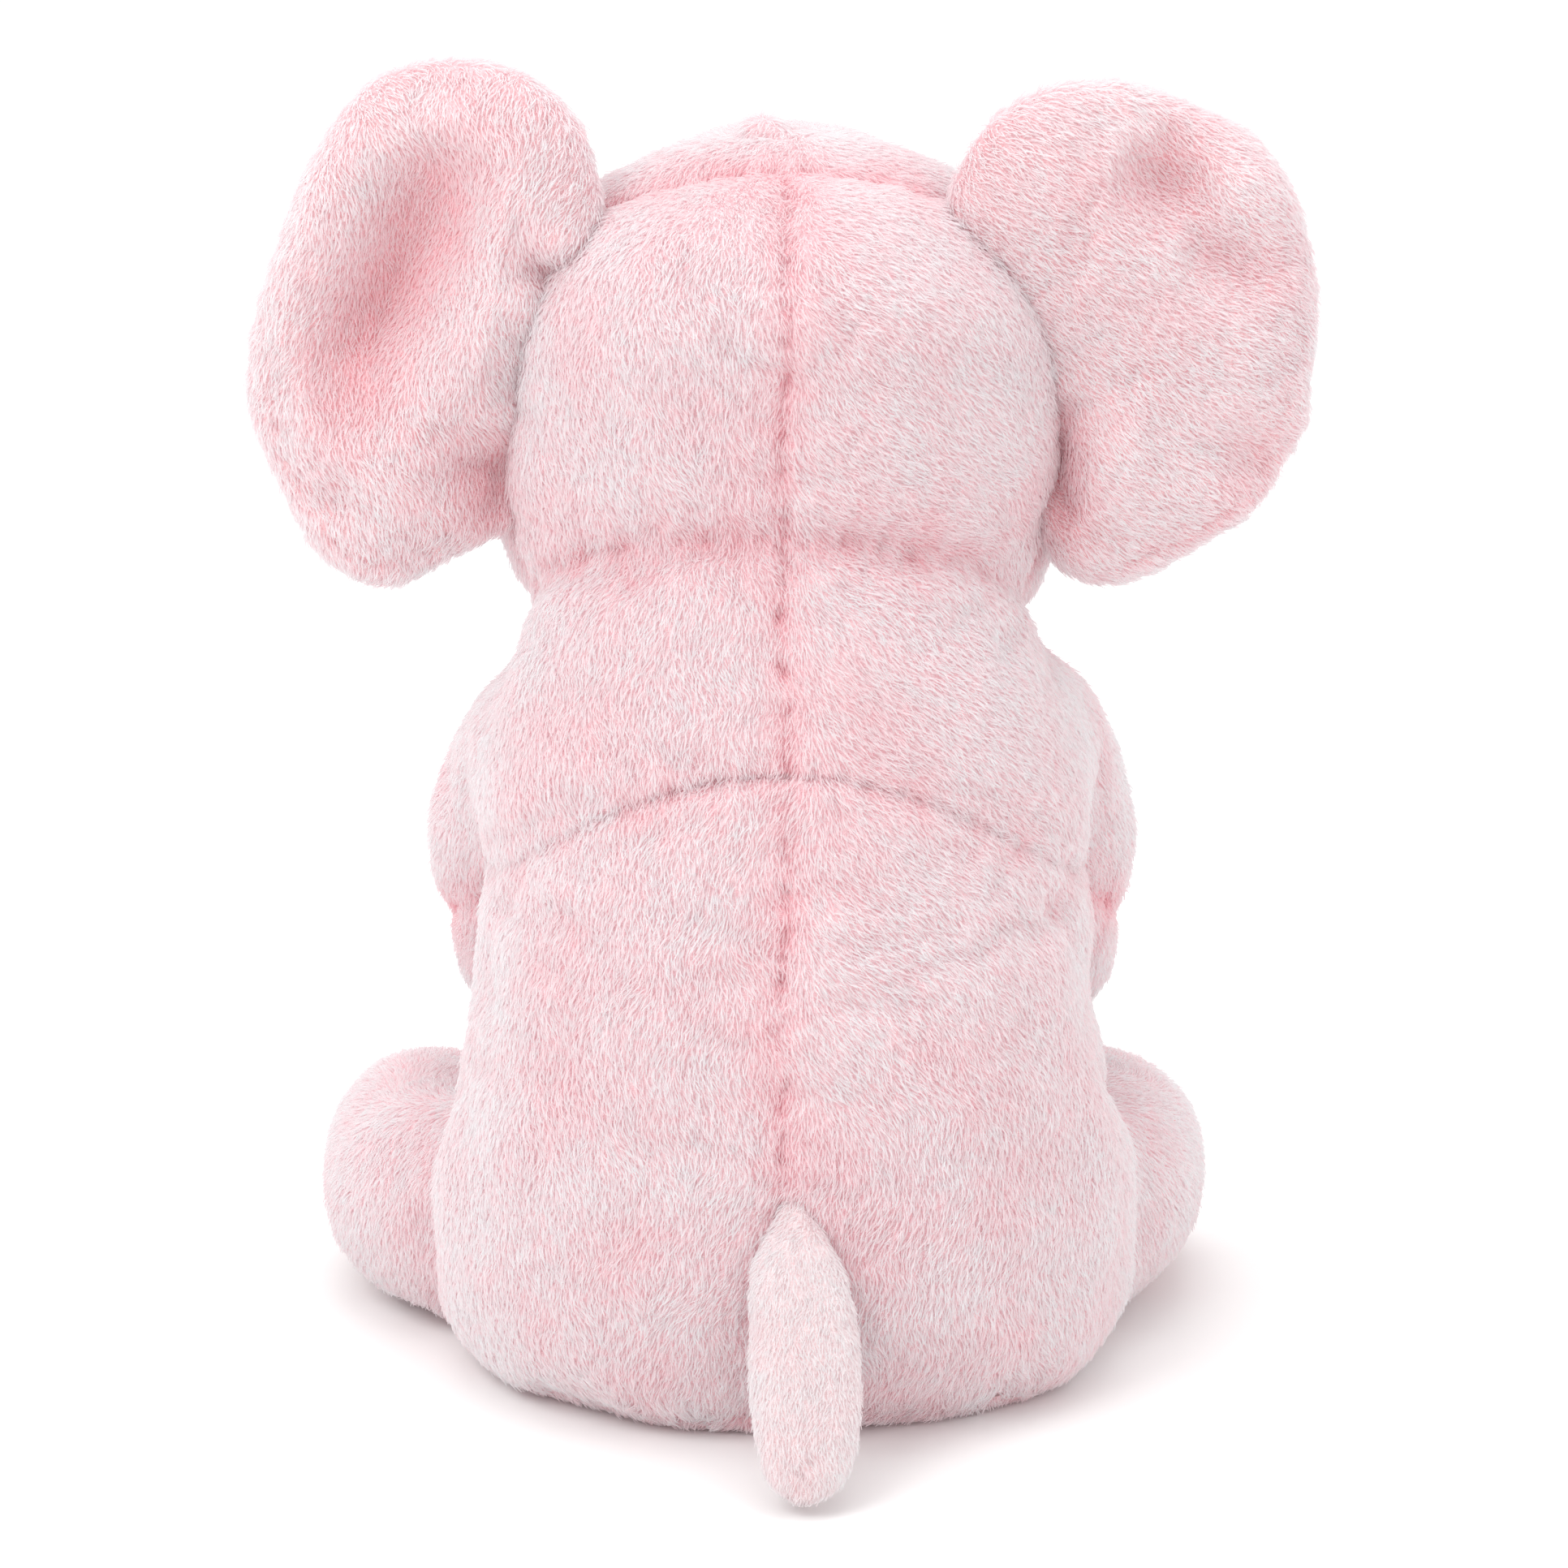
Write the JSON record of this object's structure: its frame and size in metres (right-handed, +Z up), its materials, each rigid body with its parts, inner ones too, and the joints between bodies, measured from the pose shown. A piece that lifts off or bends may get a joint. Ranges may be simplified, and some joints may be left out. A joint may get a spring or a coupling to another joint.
{
  "type": "stuffed elephant",
  "caption": "small stuffed elephant in pale pink pile fabric, sitting on its rump, with large ears, a short tail and soft limbs that flex at their seams",
  "frame": {"origin": "on the floor, in the middle of the toy's outline", "axes": "+Z up; the elephant faces -Y and its tail points to +Y; its left side is +X"},
  "size_m": [0.1164, 0.1151, 0.1455],
  "materials": {
    "body_pile": "matte",
    "ear_pile": "matte",
    "tail_pile": "matte",
    "wadding": "matte",
    "lining": "matte",
    "eye_plastic": "gloss",
    "washer_plastic": "satin"
  },
  "bodies": {
    "torso": {"upper_back_left": "body_pile", "upper_back_right": "body_pile", "haunch_left": "body_pile", "haunch_right": "body_pile", "belly_panel": "body_pile", "base_panel": "body_pile", "torso_stuffing": "wadding", "pellet_bag": "lining", "neck_stuffing": "wadding"},
    "head": {"head_back_left": "body_pile", "head_back_right": "body_pile", "forehead_panel": "body_pile", "cheek_left": "body_pile", "cheek_right": "body_pile", "head_stuffing": "wadding", "eye_left": "eye_plastic", "eye_right": "eye_plastic", "eye_washer_left": "washer_plastic", "eye_washer_right": "washer_plastic"},
    "trunk": {"trunk_left": "body_pile", "trunk_right": "body_pile", "trunk_tip": "body_pile", "trunk_stuffing": "wadding"},
    "tail": {"tail_skin": "tail_pile", "tail_stuffing": "wadding"},
    "ear_left": {"ear_back_left": "ear_pile", "ear_front_left": "ear_pile", "ear_padding_left": "wadding"},
    "arm_left": {"arm_outer_left": "body_pile", "arm_inner_left": "body_pile", "paw_pad_left": "body_pile", "arm_stuffing_left": "wadding"},
    "leg_left": {"leg_outer_left": "body_pile", "leg_inner_left": "body_pile", "sole_left": "body_pile", "leg_stuffing_left": "wadding"},
    "ear_right": {"ear_back_right": "ear_pile", "ear_front_right": "ear_pile", "ear_padding_right": "wadding"},
    "arm_right": {"arm_outer_right": "body_pile", "arm_inner_right": "body_pile", "paw_pad_right": "body_pile", "arm_stuffing_right": "wadding"},
    "leg_right": {"leg_outer_right": "body_pile", "leg_inner_right": "body_pile", "sole_right": "body_pile", "leg_stuffing_right": "wadding"}
  },
  "joints": [
    {"name": "head_nod", "type": "hinge", "parent": "torso", "child": "head", "pos_m": [0, 0.0022, 0.087], "axis": [1, 0, 0], "range_deg": [-9, 9], "stiffness_Nm_per_rad": 0.12},
    {"name": "ear_flap_left", "type": "hinge", "parent": "head", "child": "ear_left", "pos_m": [0.03295, 0.0015, 0.112], "axis": [0.1926, -0.035, -0.9806], "range_deg": [-25, 40], "stiffness_Nm_per_rad": 0.01},
    {"name": "ear_flap_right", "type": "hinge", "parent": "head", "child": "ear_right", "pos_m": [-0.03295, 0.0015, 0.112], "axis": [0.1926, 0.035, 0.9806], "range_deg": [-25, 40], "stiffness_Nm_per_rad": 0.01},
    {"name": "trunk_swing", "type": "hinge", "parent": "head", "child": "trunk", "pos_m": [0, -0.032, 0.104], "axis": [-1, 0, 0], "range_deg": [-12, 35], "stiffness_Nm_per_rad": 0.02},
    {"name": "arm_swing_left", "type": "hinge", "parent": "torso", "child": "arm_left", "pos_m": [0.025, -0.003, 0.073], "axis": [-1, 0, 0], "range_deg": [-5, 42], "stiffness_Nm_per_rad": 0.03},
    {"name": "arm_swing_right", "type": "hinge", "parent": "torso", "child": "arm_right", "pos_m": [-0.025, -0.003, 0.073], "axis": [-1, 0, 0], "range_deg": [-5, 42], "stiffness_Nm_per_rad": 0.03},
    {"name": "leg_spread_left", "type": "hinge", "parent": "torso", "child": "leg_left", "pos_m": [0.033, -0.002, 0.0136], "axis": [0, 0, 1], "range_deg": [-6, 18], "stiffness_Nm_per_rad": 0.04},
    {"name": "leg_spread_right", "type": "hinge", "parent": "torso", "child": "leg_right", "pos_m": [-0.033, -0.002, 0.0136], "axis": [0, 0, -1], "range_deg": [-6, 18], "stiffness_Nm_per_rad": 0.04},
    {"name": "tail_lift", "type": "hinge", "parent": "torso", "child": "tail", "pos_m": [0, 0.0386, 0.028], "axis": [1, 0, 0], "range_deg": [-3, 60], "stiffness_Nm_per_rad": 0.008}
  ]
}
